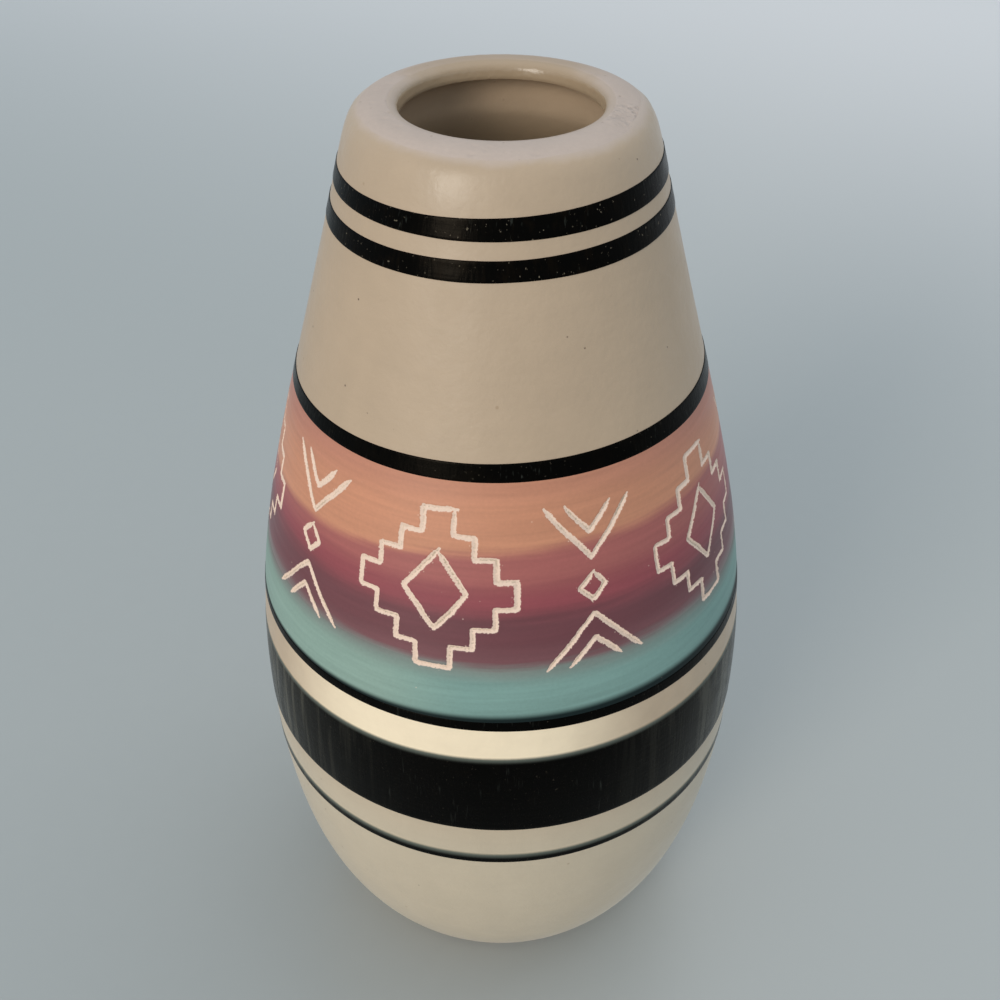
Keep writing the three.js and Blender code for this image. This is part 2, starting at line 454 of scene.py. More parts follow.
def shape_bench(name, inputs):
    """A Geometry Nodes tree with named inputs, given as (name, kind, default), and its input wires."""
    tree = bpy.data.node_groups.new(name, "GeometryNodeTree")
    tree.is_modifier = True
    tree.interface.new_socket("Geometry", in_out="INPUT", socket_type="NodeSocketGeometry")
    tree.interface.new_socket("Geometry", in_out="OUTPUT", socket_type="NodeSocketGeometry")
    for label, kind, default in inputs:
        socket = tree.interface.new_socket(label, in_out="INPUT", socket_type=kind)
        if default is not None:
            socket.default_value = default
    bench = Bench(tree, "GeometryNodeInputPosition", "Position")
    return bench, bench.node("NodeGroupInput")


def number_fact(bench, name):
    """A number stored on each point."""
    return bench.node("GeometryNodeInputNamedAttribute", {"data_type": "FLOAT"}, {"Name": name})


def vector_fact(bench, name):
    """A vector stored on each point."""
    return bench.node("GeometryNodeInputNamedAttribute", {"data_type": "FLOAT_VECTOR"}, {"Name": name})


def sampled(bench, geometry, value, kind, index):
    """A value of another geometry's point, read by its index."""
    settings = {"data_type": kind, "domain": "POINT"}
    feeds = {"Geometry": geometry, "Value": value, "Index": index}
    return bench.node("GeometryNodeSampleIndex", settings, feeds)


def stored(bench, geometry, name, value):
    """A geometry with a number stored on each point."""
    feeds = {"Geometry": geometry, "Name": name, "Value": value}
    return bench.node("GeometryNodeStoreNamedAttribute", {"data_type": "FLOAT", "domain": "POINT"}, feeds)


def moved(bench, geometry, offset):
    """A geometry with its points moved."""
    return bench.node("GeometryNodeSetPosition", None, {"Geometry": geometry, "Offset": offset})


def deliver(bench, geometry, finish):
    """Ends a tree with real, smooth faces that carry their finish."""
    smooth = bench.node("GeometryNodeSetShadeSmooth", None, {"Geometry": geometry})
    real = bench.node("GeometryNodeRealizeInstances", None, {"Geometry": smooth})
    finished = bench.node("GeometryNodeSetMaterial", None, {"Geometry": real, "Material": finish})
    bench.node("NodeGroupOutput", None, {"Geometry": finished})


def wheel_relief(bench, given):
    """Height of the hand work at a point: fine grain and wheel marks, less pits."""
    fine = bench.noise(given.output("Relief Length"), 3.0)
    marks = bench.noise(given.output("Wheel Mark Pitch"), 2.0, (0.03, 0.03, 1))
    pits = bench.dots(PIT_SPACING, PIT_REACH, given.output("Pit Share"))
    heights = fine * given.output("Relief") * 2 + marks * given.output("Wheel Marks") * 2
    return (heights - pits * given.output("Pit Depth")) * number_fact(bench, "grain")


def wheel_tree():
    """Turns a section about the Z axis and gives its shown side the small relief of hand work."""
    inputs = [
        ("Columns", "NodeSocketInt", 512),
        ("Seed", "NodeSocketFloat", 0.0),
        ("Relief", "NodeSocketFloat", 0.0),
        ("Relief Length", "NodeSocketFloat", 2 * MM),
        ("Wheel Marks", "NodeSocketFloat", 0.0),
        ("Wheel Mark Pitch", "NodeSocketFloat", 2 * MM),
        ("Pit Depth", "NodeSocketFloat", 0.0),
        ("Pit Share", "NodeSocketFloat", 0.3),
        ("Finish", "NodeSocketMaterial", None),
    ]
    bench, given = shape_bench(WHEEL, inputs)
    section = given.output("Geometry")
    rows = bench.node("GeometryNodeAttributeDomainSize", {"component": "MESH"}, {"Geometry": section})
    corners = {"Vertices X": given.output("Columns") + 1, "Vertices Y": rows}
    sheet = bench.node("GeometryNodeMeshGrid", None, {"Size X": 1.0, "Size Y": 1.0, **corners})
    across, up, _ = bench.split(bench.place)
    angle = (across + 0.5) * FULL_TURN + BACK
    row = bench.math("ROUND", (up + 0.5) * (rows - 1))
    facts = {name: sampled(bench, section, number_fact(bench, name), "FLOAT", row) for name in NUMBER_FACTS}
    corner = sampled(bench, section, bench.place, "FLOAT_VECTOR", row)
    radius, _, height = bench.split(corner)
    slide = sampled(bench, section, vector_fact(bench, "slide"), "FLOAT_VECTOR", row)
    slide_out, _, slide_up = bench.split(slide)

    east = bench.math("COSINE", angle)
    north = bench.math("SINE", angle)
    hand = bench.combined(east, north, facts["side"] * HAND_SIDES_APART + given.output("Seed"))
    sway = facts["sway"] * bench.noise(HAND_WAVE, place=hand) * NOISE_SWING
    travel = facts["tilt"] * radius * east + sway
    out = radius + travel * slide_out
    place = bench.combined(out * east, out * north, height + travel * slide_up)
    for name in ("grain", "face", "fade"):
        sheet = stored(bench, sheet, name, facts[name])
    turned = bench.node("GeometryNodeSetPosition", None, {"Geometry": sheet, "Position": place})
    closed = bench.node("GeometryNodeMergeByDistance", None, {"Geometry": turned, "Distance": SHEET_JOIN})
    relief = bench.scaled(bench.node("GeometryNodeInputNormal"), wheel_relief(bench, given))
    deliver(bench, moved(bench, closed, relief), given.output("Finish"))
    return bench.tree


def scratching_tree():
    """Cuts strokes through the shown side of a coat, repeated round the axis by instances."""
    inputs = [
        ("Strokes", "NodeSocketObject", None),
        ("Repeats", "NodeSocketInt", 5),
        ("Line Width", "NodeSocketFloat", 1.3 * MM),
        ("Line Depth", "NodeSocketFloat", 0.35 * MM),
        ("Burr", "NodeSocketFloat", 0.05 * MM),
        ("Wobble", "NodeSocketFloat", 0.3 * MM),
        ("Ragged Edge", "NodeSocketFloat", 0.1 * MM),
        ("Finish", "NodeSocketMaterial", None),
    ]
    bench, given = shape_bench(STYLUS, inputs)
    repeats = given.output("Repeats")
    motif = bench.node("GeometryNodeObjectInfo", None, {"Object": given.output("Strokes")}, "Geometry")
    turns = bench.node("GeometryNodeMeshLine", None, {"Count": repeats, "Offset": (0, 0, 0)})
    turn = bench.node("GeometryNodeInputIndex") * FULL_TURN / repeats
    rotation = bench.node("FunctionNodeEulerToRotation", None, {"Euler": bench.combined(0.0, 0.0, turn)})
    feeds = {"Points": turns, "Instance": motif, "Rotation": rotation}
    copies = bench.node("GeometryNodeInstanceOnPoints", None, feeds)
    drawn = bench.node("GeometryNodeRealizeInstances", None, {"Geometry": copies})

    feeds = {"Vector": bench.place, "Scale": 1 / STROKE_WAVE, "Detail": 2.0}
    stray = bench.node("ShaderNodeTexNoise", None, feeds, "Color")
    stray = bench.scaled(bench.vector("SUBTRACT", stray, (0.5, 0.5, 0.5)), given.output("Wobble") * 4)
    drawn = moved(bench, drawn, stray)

    nearest_edge = {"target_element": "EDGES"}
    distance = bench.node("GeometryNodeProximity", nearest_edge, {"Geometry": drawn}, "Distance")
    nearest = bench.node("GeometryNodeSampleNearest", {"domain": "POINT"}, {"Geometry": drawn})
    pressure = sampled(bench, drawn, number_fact(bench, "pressure"), "FLOAT", nearest)
    half_width = given.output("Line Width") / 2 * pressure * (1 + bench.noise(STROKE_WAVE, 1.0) * 0.6)
    breaks = bench.noise(RAGGED_LENGTH, 3.0) * given.output("Ragged Edge") * NOISE_SWING
    across = (distance + breaks) / half_width
    cut = bench.math("MAXIMUM", 1 - across, 0.0)
    groove = bench.math("POWER", cut, 0.8) * pressure * given.output("Line Depth")
    ridge = bench.rise(across, 0.85, 1.2) * bench.fall(across, 1.2, 1.8) * given.output("Burr")
    x, y, _ = bench.split(bench.place)
    outward = bench.vector("NORMALIZE", bench.combined(x, y, 0.0))
    marked = stored(bench, given.output("Geometry"), "from_line", across)
    scratched = moved(bench, marked, bench.scaled(outward, (ridge - groove) * number_fact(bench, "face")))
    deliver(bench, scratched, given.output("Finish"))
    return bench.tree


TREE_MAKERS = {WHEEL: wheel_tree, STYLUS: scratching_tree}


def add_rule(piece, name, values):
    """Puts a Geometry Nodes modifier on a piece, with its inputs set by their identifiers."""
    tree = bpy.data.node_groups.get(name) or TREE_MAKERS[name]()
    modifier = piece.modifiers.new(tree.name, "NODES")
    modifier.node_group = tree
    sockets = {item.name: item.identifier for item in tree.interface.items_tree if item.in_out == "INPUT"}
    for label, value in values.items():
        modifier[sockets[label]] = value


def new_mesh(name, points, edges=(), faces=()):
    """A mesh made from its points, edges and faces."""
    mesh = bpy.data.meshes.new(name)
    mesh.from_pydata(points, edges, faces)
    return mesh


def new_object(name, data):
    """An object in the scene, with its mesh, lamp or camera."""
    made = bpy.data.objects.new(name, data)
    bpy.context.scene.collection.objects.link(made)
    return made


def read_numbers(items, name, kind, width=1):
    """One property of every item of a mesh, as an array."""
    values = np.empty(len(items) * width, dtype=kind)
    items.foreach_get(name, values)
    return values.reshape(-1, width)


def settle(piece):
    """Makes what a piece's modifiers give its plain mesh, and tests that it is closed and faces out."""
    evaluated = piece.evaluated_get(bpy.context.evaluated_depsgraph_get())
    mesh = bpy.data.meshes.new_from_object(evaluated)
    piece.modifiers.clear()
    section = piece.data
    piece.data = mesh
    bpy.data.meshes.remove(section)
    mesh.name = piece.name
    mesh.set_sharp_from_angle(angle=SHARP_ANGLE)
    uses = np.bincount(read_numbers(mesh.loops, "edge_index", np.int32).ravel(), minlength=len(mesh.edges))
    middles = read_numbers(mesh.polygons, "center", np.float32, 3)
    normals = read_numbers(mesh.polygons, "normal", np.float32, 3)
    areas = read_numbers(mesh.polygons, "area", np.float32).ravel()
    volume = np.sum(np.sum(middles * normals, axis=1) * areas) / 3
    if np.any(uses != 2):
        raise RuntimeError(f"{piece.name} has {np.sum(uses != 2)} edges that don't join two faces")
    if volume <= 0:
        raise RuntimeError(f"{piece.name} faces inwards")


# Lines and sections of the turned pieces


def bezier(start, start_pull, end_pull, end):
    """Points of a cubic curve."""
    share = np.linspace(0, 1, CURVE_STEPS)[:, None]
    rest = 1 - share
    weights = (rest**3, 3 * rest**2 * share, 3 * rest * share**2, share**3)
    return sum(weight * np.array(point) for weight, point in zip(weights, (start, start_pull, end_pull, end)))


def bend(start, corner, end):
    """Points of a quadratic curve that rounds a corner."""
    share = np.linspace(0, 1, CURVE_STEPS)[:, None]
    rest = 1 - share
    return rest**2 * np.array(start) + 2 * rest * share * np.array(corner) + share**2 * np.array(end)


class Outline:
    """A line of (radius, height) points, read by the distance travelled along it."""

    def __init__(self, *parts):
        points = np.concatenate([np.atleast_2d(part) for part in parts])
        steps = np.linalg.norm(np.diff(points, axis=0), axis=1)
        self.points = points[np.concatenate([[True], steps > OUTLINE_JOIN])]
        steps = np.linalg.norm(np.diff(self.points, axis=0), axis=1)
        self.travel = np.concatenate([[0], np.cumsum(steps)])
        self.length = self.travel[-1]

    def read(self, travel):
        return np.column_stack([np.interp(travel, self.travel, side) for side in self.points.T])

    def heading(self, travel):
        """Directions of travel, as unit (radius, height) steps."""
        reach = 0.3 * MM
        change = self.read(np.minimum(travel + reach, self.length)) - self.read(np.maximum(travel - reach, 0))
        return change / np.linalg.norm(change, axis=1)[:, None]

    def at(self, travel, out):
        """Points moved out to the right-hand side of travel."""
        heading = self.heading(travel)
        aside = np.column_stack([heading[:, 1], -heading[:, 0]])
        return self.read(travel) + aside * np.broadcast_to(out, len(travel))[:, None]

    def travel_to(self, height):
        """Distance to a height, on a line that climbs all the way."""
        return float(np.interp(height, self.points[:, 1], self.travel))

    def radius_at(self, height):
        """Radius at a height, on a line that climbs all the way."""
        return float(np.interp(height, self.points[:, 1], self.points[:, 0]))


def wall_line(form):
    """The outside of the clay from the foot to the crown."""
    hold = HOLD_AT_FOOT * form.belly_height
    neck_radius = form.mouth_radius + form.rim_width
    neck_height = form.height - form.rim_height
    rise = neck_height - form.belly_height
    reach = HOLD_AT_NECK * rise
    crown_radius = form.mouth_radius + CROWN_INSET
    lower = bezier(
        (form.foot_radius, 0),
        (form.foot_radius + hold * math.sin(FOOT_FLARE), hold * math.cos(FOOT_FLARE)),
        (form.belly_radius, form.belly_height * (1 - HOLD_BELOW_BELLY)),
        (form.belly_radius, form.belly_height),
    )
    upper = bezier(
        (form.belly_radius, form.belly_height),
        (form.belly_radius, form.belly_height + HOLD_ABOVE_BELLY * rise),
        (neck_radius + NECK_TAPER * reach, neck_height - reach),
        (neck_radius, neck_height),
    )
    rim = bezier(
        (neck_radius, neck_height),
        (neck_radius - NECK_TAPER * RIM_SHOULDER_HOLD, neck_height + RIM_SHOULDER_HOLD),
        (crown_radius + CROWN_HOLD, form.height),
        (crown_radius, form.height),
    )
    return Outline(lower, upper, rim)


def inside_line(form):
    """The inside of the clay from the mouth down to the middle of the floor."""
    lip_bottom = form.height - LIP_DEPTH
    wall = wall_line(form)
    skin = wall.at(wall.travel, -form.wall)
    climbing = Outline(skin[: np.argmax(skin[:, 1])])
    heights = np.linspace(lip_bottom - UNDERCUT_HEIGHT, form.floor + FLOOR_FILLET, CURVE_STEPS)
    side = np.column_stack([[climbing.radius_at(height) for height in heights], heights])
    corner_radius = climbing.radius_at(form.floor)
    undercut = bend((form.mouth_radius, lip_bottom), (side[0][0], lip_bottom), side[0])
    fillet = bend(side[-1], (corner_radius, form.floor), (corner_radius - FLOOR_FILLET, form.floor))
    mouth_corner = (form.mouth_radius, form.height - MOUTH_EDGE_DROP)
    return Outline(mouth_corner, undercut, side, fillet, (0, form.floor))


def mouth_edge(form):
    """The quarter round from the crown down to the inside of the lip."""
    turn = np.linspace(0, math.pi / 2, CURVE_STEPS)
    radius = form.mouth_radius + CROWN_INSET * (1 - np.sin(turn))
    return np.column_stack([radius, form.height - MOUTH_EDGE_DROP * (1 - np.cos(turn))])


def glaze_line(form):
    """The surface under the glaze: over the rounded edge of the mouth and down the inside."""
    return Outline(mouth_edge(form), inside_line(form).points)


def glaze_bed(travel):
    """Level of the clay under the glaze, let down where the glaze rounds the edge of the mouth."""
    bed = level(ramp(travel, 0.4 * MM, 1 * MM), BARE_BED, GLAZE_BED)
    return bed * (1 - ramp(travel, 3 * MM, 6 * MM))


def foot_line(form, wall):
    """The underside from the axis over the foot ring to the foot's edge on the wall."""
    ring_outside = form.foot_radius - FOOT_EDGE_WIDTH
    ring_inside = ring_outside - FOOT_RING_WIDTH
    recess_edge = ring_inside - FOOT_RECESS_SLOPE
    edge_top = wall.read([wall.travel_to(FOOT_EDGE_HEIGHT)])[0]
    slope = np.array([ring_inside, 0]) - np.array([recess_edge, FOOT_RECESS_DEPTH])
    step = slope / np.linalg.norm(slope) * FOOT_RING_ROUND
    into_slope = bend(
        (recess_edge - FOOT_RING_ROUND, FOOT_RECESS_DEPTH),
        (recess_edge, FOOT_RECESS_DEPTH),
        (recess_edge + step[0], FOOT_RECESS_DEPTH + step[1]),
    )
    onto_ring = bend((ring_inside - step[0], -step[1]), (ring_inside, 0), (ring_inside + FOOT_RING_ROUND, 0))
    edge = bend((ring_outside, 0), (form.foot_radius, 0), edge_top)
    return Outline((0, FOOT_RECESS_DEPTH), into_slope, onto_ring, edge)


class Stretch:
    """Part of a section: its points in order, with the facts that the wheel tree reads at each."""

    def __init__(self, points, slide=None, **facts):
        self.points = np.atleast_2d(points)
        count = len(self.points)
        self.slide = np.zeros((count, 2)) if slide is None else slide
        self.facts = {name: np.broadcast_to(facts.get(name, 0.0), count) for name in NUMBER_FACTS}


def run(line, travel, out=0.0, tilt=0.0, **facts):
    """A stretch that follows a line at a distance from it, tilted across the vase by an angle."""
    heading = line.heading(travel)
    climb = np.maximum(np.abs(heading[:, 1]), 0.2)
    return Stretch(line.at(travel, out), heading, tilt=np.tan(tilt) / climb, **facts)


def ring_closed(*stretches):
    """Stretches with the first point again at the end, for a piece with a hole through it."""
    first = stretches[0]
    facts = {name: values[:1] for name, values in first.facts.items()}
    return [*stretches, Stretch(first.points[:1], first.slide[:1], **facts)]


def meet_axis(section):
    """Puts both ends of a section exactly on the axis, where the turned piece closes."""
    section[0].points[0, 0] = 0
    section[-1].points[-1, 0] = 0


def spaced(start, end, longest):
    """Distances from start to end in even steps."""
    count = max(2, math.ceil(abs(end - start) / longest) + 1)
    return np.linspace(start, end, count)


def edged(start, end, longest, width):
    """Even steps between two edges, with close steps at both for their rounding."""
    closer = width * np.array([0, 0.08, 0.3, 0.65])
    return np.concatenate([start + closer, spaced(start + width, end - width, longest), end - closer[::-1]])


def rounded(distance, width):
    """Share of a coat's full thickness at a distance from its round edge."""
    share = np.clip(distance / width, 0, 1)
    return np.sqrt(1 - (1 - share) ** 2)


def ramp(value, low, high):
    """0 below low and 1 above high, with a smooth step between them."""
    share = np.clip((value - low) / (high - low), 0, 1)
    return share * share * (3 - 2 * share)


def level(share, low, high):
    """Low where the share is 0 and high where it is 1."""
    return low + (high - low) * share


def border_share(wall, travel):
    """1 where the wall is cut back for the coloured coats, with its two steps under black rings."""
    height = wall.read(travel)[:, 1]
    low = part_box("belly_line")[0].z + UNDER_BELLY_LINE - STEP_WIDTH
    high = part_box("shoulder_band")[0].z + UNDER_SHOULDER_BAND
    return ramp(height, low - STEP_WIDTH, low) * (1 - ramp(height, high, high + STEP_WIDTH))


def border_steps(wall):
    """Distances that follow the two steps closely."""
    low = wall.travel_to(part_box("belly_line")[0].z + UNDER_BELLY_LINE - STEP_WIDTH)
    high = wall.travel_to(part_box("shoulder_band")[0].z + UNDER_SHOULDER_BAND)
    near = STEP_WIDTH * np.array([-1.4, -1, -0.7, -0.3, 0, 0.4])
    return np.concatenate([low + near, high - near])


def slip_end(form, wall):
    """Distance along the wall at which the slip stops and the wiped crown begins."""
    rim = wall.points[:, 1] > form.height - form.rim_height
    radius = form.mouth_radius + CROWN_INSET + BARE_CROWN_WIDTH
    return float(np.interp(-radius, -wall.points[rim, 0], wall.travel[rim]))


def turned(node, stretches, finish, columns, relief=None):
    """A piece turned from its section, named after the node that it takes the place of."""
    name = f"finished_{node}"
    points = np.concatenate([stretch.points for stretch in stretches])
    slide = np.concatenate([stretch.slide for stretch in stretches])
    mesh = new_mesh(name, [(radius, 0, height) for radius, height in points])
    for fact_name in NUMBER_FACTS:
        values = np.concatenate([stretch.facts[fact_name] for stretch in stretches])
        mesh.attributes.new(fact_name, "FLOAT", "POINT").data.foreach_set("value", values)
    directions = np.column_stack([slide[:, 0], np.zeros(len(slide)), slide[:, 1]])
    mesh.attributes.new("slide", "FLOAT_VECTOR", "POINT").data.foreach_set("vector", directions.ravel())
    piece = new_object(name, mesh)
    add_rule(piece, WHEEL, {"Columns": columns, "Finish": finish, **(relief or {})})
    return piece


def hand_over(piece, node):
    """Makes a piece a plain mesh and ties it to the frame, in the place of a node."""
    settle(piece)
    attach(piece, "root")
    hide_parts(node)


# Finishes

# Low, so that haze shows only where a surface is seen at a glancing angle
HAZE_SPREAD = 0.3

# Shine and haze of the coloured coats: the turquoise one is duller than the others
COAT_GLOSS = (0.5, 0.2)
TURQUOISE_GLOSS = (0.15, 0.06)


class Finish(Bench):
    """A material for one piece, with its formulas laid out in nodes."""

    def __init__(self, name):
        self.material = bpy.data.materials.new(name)
        self.material.use_nodes = True
        super().__init__(self.material.node_tree, "ShaderNodeTexCoord", "Object")
        self.shader = self.tree.nodes["Principled BSDF"]
        self.east, self.north, self.height = self.split(self.place)

    def blend(self, first, second, factor):
        """The first colour where the factor is 0, the second where it is 1."""
        return self.node("ShaderNodeMix", {"data_type": "RGBA"}, {"Factor": factor, "A": first, "B": second})

    def carried(self, name):
        """A fact stored on the piece's own points."""
        return self.node("ShaderNodeAttribute", {"attribute_name": name}, None, "Fac")

    def radius(self):
        """Distance from the axis."""
        return self.math("SQRT", self.east * self.east + self.north * self.north)

    def facing(self):
        """East and north parts of the direction from the axis to a point."""
        radius = self.radius()
        return self.east / radius, self.north / radius

    def surface(self, base, roughness, relief, shine=0.5, haze=0.0, spread=HAZE_SPREAD):
        """Feeds the shader: colour, roughness, relief in metres as a bump, and haze at a glancing angle."""
        self.feed(self.shader.inputs["Base Color"], base)
        self.feed(self.shader.inputs["Roughness"], roughness)
        bump = self.node("ShaderNodeBump", None, {"Strength": 1.0, "Distance": 1.0, "Height": relief})
        self.feed(self.shader.inputs["Normal"], bump)
        self.shader.inputs["Specular IOR Level"].default_value = shine
        self.shader.inputs["Sheen Weight"].default_value = haze
        self.shader.inputs["Sheen Roughness"].default_value = spread
        return self.material


def cream_colour(paint, colours):
    """Cream slip, faintly clouded and brushed, painted paler and cooler low down as bounce light, with a
    slightly paler strip that painted reflection makes palest at front and back.
    """
    clouds = paint.noise(26 * MM, 2.0)
    patches = paint.noise(5 * MM, 3.0, shift=3.0)
    drips = paint.noise(7 * MM, 2.0, (1, 1, 0.25), shift=9.0)
    brush = paint.noise(1.5 * MM, 3.0, (0.1, 0.1, 1), shift=7.0)
    strip = paint.rise(paint.height, *STRIP_BEGINS) * paint.fall(paint.height, *STRIP_ENDS)
    east, north = paint.facing()
    across = east * math.cos(STRIP_TURN) + north * math.sin(STRIP_TURN)
    # Painted bounce light: the lower belly is paler and cooler
    base = paint.blend(colours.cream, colours.bounce_lit_cream, paint.fall(paint.height, *BOUNCE_LIGHT_ENDS))
    # The strip is a little paler all round; most of its paleness, at front and back, is painted reflection
    thick = strip * (0.1 + paint.rise(1 - across * across, 0.4, 0.95) * 0.9 + patches * 0.12)
    base = paint.blend(base, colours.pale_cream, thick)
    return paint.scaled(base, 1 + clouds * 0.08 + patches * 0.08 + drips * 0.07 + brush * 0.05)


def cream_finish(colours):
    """Cream slip with pinholes and flecks, smoother at the rim and chalky next to the crown."""
    paint = Finish("cream_slip")
    patches = paint.noise(6 * MM, 4.0, shift=3.0)
    brush = paint.noise(1.2 * MM, 3.0, (0.15, 0.15, 1), shift=2.0)
    chalk = paint.rise(paint.height + paint.noise(4 * MM) * 1.2 * MM, *CHALK_BEGINS)
    pinholes = paint.dots(5 * MM, 0.25 * MM, 0.9)
    flecks = paint.dots(7 * MM, 0.4 * MM, 0.6, shift=5.0)
    base = paint.blend(cream_colour(paint, colours), colours.clay, chalk * 0.85)
    base = paint.blend(base, PINHOLE_BROWN, pinholes * 0.85)
    base = paint.blend(base, FLECK_BROWN, flecks * 0.5)
    polished = paint.rise(paint.height, *POLISH_BEGINS)
    roughness = 0.52 - polished * 0.1 + patches * 0.4 + chalk * 0.4
    grain = paint.noise(0.45 * MM, 3.0)
    dimples = paint.noise(1.3 * MM, 2.0, shift=6.0)
    relief = (grain * 0.02 + dimples * 0.08 + brush * 0.012 - pinholes * 0.08) * MM
    return paint.surface(base, roughness, relief, haze=0.2)


def glazed_behind(paint):
    """1 on the crown behind, where glaze ran thin over it, and 0 elsewhere."""
    _, north = paint.facing()
    clouds = paint.noise(7 * MM, 3.0)
    return paint.rise(north + clouds * 0.5, 0.35, 0.85) * paint.rise(paint.height, *CROWN_BEGINS)


def clay_finish(colours):
    """Bare clay, with a rough patch on the crown, thin glaze behind and a worn foot."""
    paint = Finish("bare_clay")
    clouds = paint.noise(7 * MM, 3.0)
    chalk = paint.noise(0.8 * MM, 4.0)
    wheel = paint.noise(1.3 * MM, 3.0, (0.1, 0.1, 1), shift=3.0)
    pits = paint.dots(2.2 * MM, 0.3 * MM, 0.5, shift=2.0)
    rough = paint.fall(paint.vector("DISTANCE", paint.place, ROUGH_PATCH), *ROUGH_PATCH_ENDS)
    craters = paint.dots(1.2 * MM, 0.55 * MM, 0.75, shift=4.0) * rough
    swell = paint.noise(2.2 * MM, 2.0, shift=4.0) * rough
    # The rough patch's colour follows its relief: painted light on its lumps and painted shade in its craters
    base = paint.scaled(colours.clay, 1 + clouds * 0.12 + chalk * 0.1 + swell * 0.34 - craters * 0.08)
    base = paint.blend(base, PIT_SHADE, pits * 0.35)
    glazed = glazed_behind(paint) * paint.fall(paint.radius(), *GLAZE_BEHIND_ENDS)
    base = paint.blend(base, colours.glaze_edge, glazed * 0.6)
    rubbed = paint.rise(paint.noise(3 * MM, 3.0), 0, 0.2)
    worn = paint.fall(paint.height, *FOOT_WEAR_ENDS) * rubbed
    base = paint.blend(base, FOOT_SOIL, worn * 0.5)
    relief = (chalk * 0.05 + wheel * 0.02 + swell * 1.1 - craters * 0.13 - pits * 0.05) * MM
    return paint.surface(base, 0.86 + chalk * 0.2, relief, shine=0.3)


def black_finish(colours):
    """Black slip with brush marks, a brown cast in patches that is partly painted warm sheen, pale specks and
    painted grey sheen at its sides, thinned out at a soft edge.
    """
    paint = Finish("black_slip")
    brushed = paint.noise(0.6 * MM, 3.0, (1, 1, 0.04), shift=4.0)
    wheel = paint.noise(0.8 * MM, 3.0, (0.05, 0.05, 1))
    mottle = paint.noise(4 * MM, 5.0)
    upper = paint.rise(paint.height, *DUST_BEGINS)
    clumps = paint.rise(paint.noise(9 * MM, 2.0, shift=7.0), -0.15, 0.25)
    specks = paint.grains(0.55 * MM, 0.19) * clumps * (0.2 + upper * 0.7)
    dust = paint.grains(0.8 * MM, 0.225, shift=3.0) * (0.05 + upper * 0.55)
    # The brown cast is partly thin slip and partly painted warm sheen, stronger on the upper rings
    brown = paint.rise(mottle + brushed * 0.5, -0.05, 0.3) * (0.05 + upper * 0.35)
    scuffs = paint.rise(paint.noise(0.5 * MM, 2.0, (1, 1, 0.08), shift=11.0), 0.1, 0.3)
    scuffs = scuffs * paint.rise(paint.noise(11 * MM, 2.0, shift=5.0), 0, 0.2)
    sheen_streaks = paint.rise(paint.noise(1.6 * MM, 3.0, (1, 1, 0.03), shift=12.0), -0.05, 0.15)
    # The rings' sides along x carry painted sheen: grey streaks on the black, strongest below the belly line
    east, _ = paint.facing()
    aside = paint.rise(east * east, 0.3, 0.8)
    side_sheen = paint.rise(east * east, 0.08, 0.6) * 0.15 + paint.rise(east * east, 0.45, 0.85) * 0.4
    side_sheen = side_sheen * paint.fall(paint.height, *SIDE_SHEEN_ENDS)
    body = paint.blend(colours.black, colours.thin_slip_and_sheen_brown, brown)
    body = paint.blend(body, colours.edge_grey_and_sheen, paint.rise(brushed, 0.08, 0.34) * aside * 0.16)
    body = paint.blend(body, SIDE_SHEEN_GREY, (0.25 + sheen_streaks * 0.75) * side_sheen)
    body = paint.blend(body, colours.edge_grey_and_sheen, scuffs * 0.3)
    body = paint.blend(body, DUST_GREY, paint.math("MAXIMUM", specks, dust))
    inward = paint.carried("fade") + wheel * 0.08 + brushed * (0.04 + aside * 0.1)
    base = paint.blend(colours.edge_grey_and_sheen, body, paint.rise(inward, 0.3, 0.9))
    base = paint.blend(cream_colour(paint, colours), base, paint.rise(inward, 0.02, 0.42))
    roughness = 0.26 + mottle * 0.3 + brushed * 0.2
    relief = (brushed * 0.04 + wheel * 0.03 + mottle * 0.03) * MM
    paint.shader.inputs["Specular Tint"].default_value = (*BLACK_SHINE_TINT, 1)
    return paint.surface(base, roughness, relief, shine=0.045, haze=0.06, spread=0.2)


